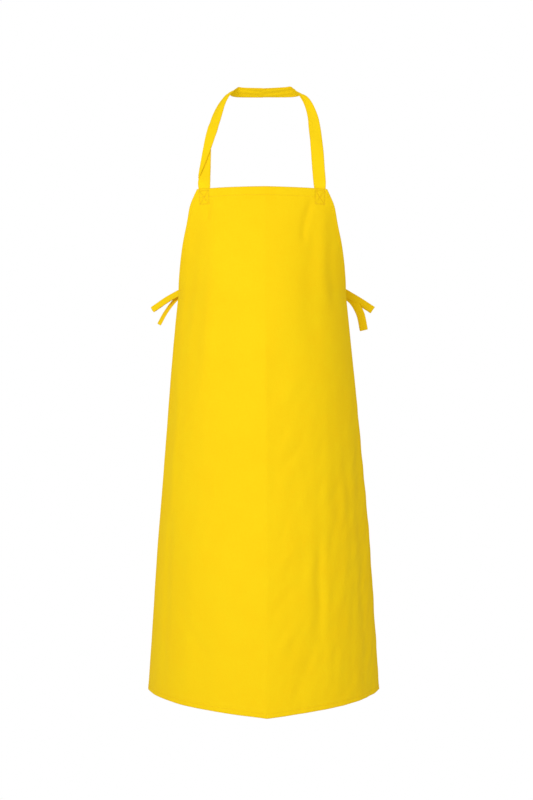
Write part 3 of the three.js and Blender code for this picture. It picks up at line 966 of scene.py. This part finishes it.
def makeWaistTie(side, sign, values):
    edge = panelCut["waist"] / 2 - values["sewnInset"]
    across = sign * np.linspace(edge - values["sewnLength"], edge - 0.002, 5)
    sewn = wornPoint(across, np.full(5, panelCut["waistDrop"]), values["depth"])
    angles = np.linspace(0.07, math.acos(values["knotEnd"] / values["startX"]), 24)
    level = values["startX"] * np.cos(angles)
    depth = seamLine.y + (backY + 0.0008 - seamLine.y) * np.sin(angles)
    height = lerp(seamLine.z, knotCentre.z, eased(angles / (math.pi / 2)))
    height = height - values["sag"] * np.sin(2 * angles)
    band = np.stack([sign * level, depth, height], axis=-1)
    route = smoothPath(np.concatenate([sewn, band]).tolist(), 6)
    path = spacedPath(route, 130)[::-1]  # from the knot, so that the gathers are at its start
    outside = unit(np.stack([path[:, 0], path[:, 1] + 0.05, np.zeros(len(path))], axis=-1))
    grid = uprightTape(path, outside, values)
    tie = tapePiece(f"{side}WaistTie", grid, tieTape["thickness"], tapeCloth)
    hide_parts(f"{side}_tie_band", f"{side}_tie_end")
    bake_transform(tie)
    return tie


bowLoops = {
    "left": [(-0.0133, -0.425), (-0.090, -0.419), (-0.165, -0.428), (-0.212, -0.449), (-0.251, -0.475)],
    "right": [(0.0133, -0.425), (0.090, -0.419), (0.165, -0.430), (0.210, -0.453), (0.246, -0.476)],
}
loopShape = {
    "depth": 0.0575,
    "root": 0.004,
    "spread": 0.0033,
    "gather": 0.040,
    "pinch": 0.6,
    "pleat": 0.0011,
    "crown": 0.0008,
    "ripple": (37, 0.4),
    "turn": {"left": 44, "right": -44},
    "turnFrom": 0.2,
    "turnOver": 0.6,
    "closed": 0.35,  # share of the spread at the knot
    "openOver": 0.2,
}


def makeLoop(side, sign, values):
    middle = spacedPath(smoothPath(knotRoute(bowLoops[side], sign, values), 12), 70)
    share = np.linspace(0, 1, len(middle))
    opened = values["spread"] * lerp(values["closed"], 1, eased(share / values["openOver"]))
    run = unit(np.gradient(middle, axis=0))
    up = np.stack([-run[:, 2], 0 * share, run[:, 0]], axis=-1) * sign
    depth = np.tile([0.0, 1.0, 0.0], (len(middle), 1))
    turned = math.radians(values["turn"][side]) * eased((share - values["turnFrom"]) / values["turnOver"])
    up = rolled(up, depth, turned)[0]
    opened = np.stack([0 * opened, opened, 0 * opened], axis=-1)
    front, back = middle - opened, middle + opened
    ahead = unit(middle[-1] - middle[-2])
    turn = np.linspace(0, math.pi, 9)[1:-1, None]
    tipCentre = (front[-1] + back[-1]) / 2
    tip = tipCentre + (front[-1] - tipCentre) * np.cos(turn) + ahead * values["spread"] * np.sin(turn)
    path = np.concatenate([front, tip, back[::-1]])
    along = lengthsAlong(path)
    fromKnot = np.minimum(along, along[-1] - along)
    up = np.concatenate([up, np.repeat(up[-1:], len(tip), axis=0), up[::-1]])
    ahead = unit(np.gradient(path, axis=0))
    grid = tapeGrid(path, up, unit(np.cross(ahead, up)), fromKnot, values)
    loop = tapePiece(f"{side}BowLoop", grid, tieTape["thickness"] * 0.9, tapeCloth)
    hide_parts(f"{side}_bow_loop")
    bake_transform(loop)
    return loop


knotShape = {
    "width": 0.0205,
    "reachY": 0.0106,
    "reachZ": 0.0118,
    "crown": 0.0022,
    "skew": 0.0030,
    "start": -0.9,  # where on the knot the tape comes in, in radians
    "overlap": 0.5,
    "wrapLength": 0.080,
}


def makeKnot(values):  # the tape wraps once round the gathered ties and tucks under itself
    angles = np.linspace(values["start"], 2 * math.pi + values["start"] + values["overlap"], 61)
    across = np.linspace(-1, 1, 17)
    angle, share = angles[:, None], across[None, :]
    turned = (angle - angles[0]) / (2 * math.pi)
    swell = 1 - values["crown"] / values["reachY"] * share**2 * (1 + 0.6 * np.sin(angle * 2 + share))
    creases = 0.00045 * np.sin(share * 9 + angle * 1.5) * (1 - share**2)
    reach = swell + creases / values["reachY"] + 0.07 * (turned - 0.5)
    narrow = 1 - 0.16 * np.cos(angle - 1.2)
    x = share * values["width"] / 2 * narrow + values["skew"] * np.sin(angle)
    y = knotCentre.y + values["reachY"] * reach * np.sin(angle)
    z = knotCentre.z + values["reachZ"] * reach * np.cos(angle)
    knot = tapePiece("bowKnot", np.stack([x, y, z], axis=-1), tieTape["thickness"], tapeCloth)
    core = knotCore()
    for piece in (knot, core):
        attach(piece, "ties")
    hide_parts("bow_knot")
    return knot


def knotCore():  # the crossed tapes inside the wrap
    rows, columns = 24, 28
    tilt = np.linspace(0, math.pi, rows)[:, None]
    around = np.linspace(0, 2 * math.pi, columns, endpoint=False)[None, :]
    pleat = 1 + 0.07 * np.sin(around * 6 + tilt * 2) * np.sin(tilt)
    x = 0.0112 * np.cos(tilt) + 0 * around
    y = knotCentre.y + 0.0078 * np.sin(tilt) ** 0.7 * np.sin(around) * pleat
    z = knotCentre.z + 0.0086 * np.sin(tilt) ** 0.7 * np.cos(around) * pleat
    grid = np.stack([x, y, z], axis=-1)
    points = np.concatenate([grid[:1, 0], grid[1:-1].reshape(-1, 3), grid[-1:, 0]])
    ring = 1 + np.arange((rows - 2) * columns).reshape(rows - 2, columns)
    last = len(points) - 1
    nextRing = np.roll(ring, -1, axis=1)
    faces = np.stack([ring[:-1], nextRing[:-1], nextRing[1:], ring[1:]], axis=-1).reshape(-1, 4).tolist()
    faces += [[0, b, a] for a, b in zip(ring[0], nextRing[0])]
    faces += [[last, a, b] for a, b in zip(ring[-1], nextRing[-1])]
    cut = points[:, [0, 2]] * 1.3
    return meshPiece("bowKnotCore", points, faces, cut, np.zeros(len(points)), tapeCloth)


for sideName, sideSign in sides:
    makeWaistTie(sideName, sideSign, waistTie)
    makeLoop(sideName, sideSign, loopShape)
makeKnot(knotShape)
print("waist ties, bow loops and knot made")


# stitches

stitchSize = {"length": 0.0030, "gap": 0.0009, "thickness": 0.00055, "tilt": 0.09, "seed": 5}
tackSize = {**stitchSize, "length": 0.0024, "gap": 0.0006, "thickness": 0.0008}
threadLift = 0.00012  # a stitch's middle stands this far off the cloth
seamEnd = 0.0015  # a seam stops this far from the cloth's edge


def makeStitchTree():
    tree = bpy.data.node_groups.new("stitchRow", "GeometryNodeTree")
    addSockets(tree, "INPUT", {
        "Seam Line": "Geometry",
        "Stitch Length": "Float",
        "Stitch Gap": "Float",
        "Thread Thickness": "Float",
        "Tilt": "Float",
        "Seed": "Int",
        "Thread": "Material",
    })
    addSockets(tree, "OUTPUT", {"Stitches": "Geometry"})
    given = nodeOf(tree, "NodeGroupInput").outputs
    curve = nodeOf(tree, "GeometryNodeMeshToCurve", {"Mesh": given["Seam Line"]})
    pitch = mathNode(tree, "ADD", given["Stitch Length"], given["Stitch Gap"])
    spacing = {"Curve": curve.outputs[0], "Length": pitch}
    steps = nodeOf(tree, "GeometryNodeResampleCurve", spacing, mode="LENGTH")
    bead = nodeOf(tree, "GeometryNodeMeshUVSphere", {"Segments": 6, "Rings": 5, "Radius": 0.5})
    thickness = given["Thread Thickness"]
    size = nodeOf(tree, "ShaderNodeCombineXYZ", {"X": thickness, "Y": thickness, "Z": given["Stitch Length"]})
    tangent = nodeOf(tree, "GeometryNodeInputTangent").outputs[0]
    aim = nodeOf(tree, "FunctionNodeAlignRotationToVector", {"Vector": tangent}, axis="Z")
    least, most = (
        nodeOf(tree, "ShaderNodeVectorMath", {0: (way, way, 0), "Scale": given["Tilt"]}, operation="SCALE")
        for way in (-1, 1)
    )
    limits = {"Min": least.outputs[0], "Max": most.outputs[0], "Seed": given["Seed"]}
    wander = nodeOf(tree, "FunctionNodeRandomValue", limits, data_type="FLOAT_VECTOR")
    turns = {"Rotation": aim.outputs[0], "Rotate By": wander.outputs[0]}
    turned = nodeOf(tree, "FunctionNodeRotateRotation", turns, rotation_space="LOCAL")
    placed = nodeOf(tree, "GeometryNodeInstanceOnPoints", {
        "Points": steps.outputs[0],
        "Instance": bead.outputs[0],
        "Rotation": turned.outputs[0],
        "Scale": size.outputs[0],
    })
    real = nodeOf(tree, "GeometryNodeRealizeInstances", {"Geometry": placed.outputs[0]})
    smooth = nodeOf(tree, "GeometryNodeSetShadeSmooth", {0: real.outputs[0]})
    finish = {"Geometry": smooth.outputs[0], "Material": given["Thread"]}
    finished = nodeOf(tree, "GeometryNodeSetMaterial", finish)
    nodeOf(tree, "NodeGroupOutput", {"Stitches": finished.outputs[0]})
    return tree


stitchTree = makeStitchTree()


def stitchPiece(name, lines, node, values):  # lines are the seam's rows, each a list of points
    points = np.concatenate(lines)
    ends = np.cumsum([len(line) for line in lines])
    joins = [(i, i + 1) for i in range(len(points) - 1) if i + 1 not in ends]
    guide = bpy.data.meshes.new(name + "Line")
    guide.from_pydata(points.tolist(), joins, [])
    piece = newObject(name, guide)
    modifier = piece.modifiers.new("stitches", "NODES")
    modifier.node_group = stitchTree
    given = {
        "Stitch Length": values["length"],
        "Stitch Gap": values["gap"],
        "Thread Thickness": values["thickness"],
        "Tilt": values["tilt"],
        "Seed": values["seed"],
        "Thread": sewingThread,
    }
    for item in stitchTree.interface.items_tree:
        if item.in_out == "INPUT" and item.name in given:
            modifier[item.identifier] = given[item.name]
    bpy.context.view_layer.update()
    evaluated = piece.evaluated_get(bpy.context.evaluated_depsgraph_get())
    mesh = bpy.data.meshes.new_from_object(evaluated)
    piece.modifiers.remove(modifier)
    piece.data = mesh
    mesh.name = name
    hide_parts(node)
    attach(piece, "panel")
    return piece


def onBothFaces(across, drop, behind):  # a row of stitches shows in front and behind
    return [wornPoint(across, drop, -threadLift), wornPoint(across, drop, behind + threadLift)]


hemBehind = panelCut["thickness"] + panelCut["hemLayers"]
tapeBehind = neckStrap["depth"] + neckStrap["thickness"] / 2


def straight(start, end, count):
    share = np.linspace(0, 1, count)
    return lerp(start[0], end[0], share), lerp(start[1], end[1], share)


def makeSeams():
    inset = panelCut["stitchInset"]
    drops = {"top": panelCut["topHem"] - inset, "bottom": panelCut["length"] - panelCut["bottomHem"] + inset}
    for hem, drop in drops.items():
        reach = float(halfWidth(drop)) - seamEnd
        across, level = straight((-reach, drop), (reach, drop), 260)
        stitchPiece(f"{hem}HemSeam", onBothFaces(across, level, hemBehind), f"{hem}_hem_seam", stitchSize)
    waist = panelCut["waistDrop"]
    runs = (("armhole", seamEnd, waist - 0.001), ("side", waist + 0.002, panelCut["length"] - seamEnd))
    for side, sign in sides:
        for hem, start, end in runs:
            drop = np.linspace(start, end, 200)
            across = sign * (halfWidth(drop) - panelCut["sideHem"] + inset)
            name, node = f"{side}{hem.capitalize()}Seam", f"{side}_{hem}_seam"
            stitchPiece(name, onBothFaces(across, drop, hemBehind), node, stitchSize)


def boxLines(runs, behind):
    lines = []
    for start, end in runs:
        lines += onBothFaces(*straight(start, end, 12), behind)
    return lines


def makeTacks(values):
    for side, sign in sides:
        box = boxLines(boxRuns(sign * neckStrap["fromCentre"], values), tapeBehind)
        stitchPiece(f"{side}StrapStitching", box, f"{side}_strap_stitching", tackSize)
        edge = panelCut["waist"] / 2
        low, high = sorted((sign * (edge - values["tieNear"]), sign * (edge - values["tieFar"])))
        top, bottom = (panelCut["waistDrop"] + way * values["tieHalf"] for way in (-1, 1))
        box = boxLines(tackRuns(low, high, top, bottom, False), tapeBehind)
        stitchPiece(f"{side}TieStitching", box, f"{side}_tie_stitching", stitchSize)


makeSeams()
makeTacks(tackBox)


# floor and light

studio = {
    "floorDrop": 0.25,
    "floorSize": 14.0,
    "floorColour": (0.86, 0.86, 0.86, 1),
    "seenColour": (1, 1, 1, 1),
    "seenWhite": 1.0,
    "ambient": 0.60,
    "ambientColour": (1.0, 0.95, 0.35, 1),
}


def cameraOnly(tree, output, seen, other):  # one shader to the camera, another to the light
    toCamera = nodeOf(tree, "ShaderNodeLightPath").outputs["Is Camera Ray"]
    mix = nodeOf(tree, "ShaderNodeMixShader", {0: toCamera, 1: other.outputs[0], 2: seen.outputs[0]})
    tree.links.new(mix.outputs[0], tree.nodes[output].inputs["Surface"])


def makeWorld(values):
    world = bpy.data.worlds.new("studio")
    world.use_nodes = True
    tree = world.node_tree
    soft = tree.nodes["Background"]
    soft.inputs["Color"].default_value = values["ambientColour"]
    soft.inputs["Strength"].default_value = values["ambient"]
    white = {"Color": values["seenColour"], "Strength": values["seenWhite"]}
    cameraOnly(tree, "World Output", nodeOf(tree, "ShaderNodeBackground", white), soft)
    scene.world = world


def makeFloor(values):
    half = values["floorSize"] / 2
    z = cadBox[0].z - values["floorDrop"]
    corners = [(-half, -half, z), (half, -half, z), (half, half, z), (-half, half, z)]
    mesh = bpy.data.meshes.new("floor")
    mesh.from_pydata(corners, [], [(0, 1, 2, 3)])
    material, tree, paper = newMaterial("floorPaper")
    paper.inputs["Base Color"].default_value = values["floorColour"]
    paper.inputs["Roughness"].default_value = 0.9
    bright = nodeOf(tree, "ShaderNodeEmission", {"Strength": values["seenWhite"]})
    cameraOnly(tree, "Material Output", bright, paper)
    mesh.materials.append(material)
    newObject("floor", mesh)


lights = [
    {"name": "key", "place": (-1.10, -2.90, 0.1), "size": 2.0, "power": 45, "colour": (1.0, 0.985, 1.0)},
    {"name": "side", "place": (2.3, -2.1, -0.45), "size": 1.8, "power": 5, "colour": (1.0, 0.965, 0.62)},
    {"name": "front", "place": (0.5, -3.1, -0.35), "size": 1.8, "power": 5, "colour": (1.0, 0.965, 0.62)},
]
lightAim = Vector((0, -0.05, -0.66))


def makeLight(values):
    data = bpy.data.lights.new(values["name"], "AREA")
    data.size = values["size"]
    data.energy = values["power"]
    data.color = values["colour"]
    light = newObject(values["name"], data)
    light.location = values["place"]
    light.rotation_euler = (lightAim - light.location).to_track_quat("-Z", "Y").to_euler()
    light.visible_camera = False


makeWorld(studio)
makeFloor(studio)
for lightValues in lights:
    makeLight(lightValues)
scene.view_settings.view_transform = "Standard"
print("floor and lights set")
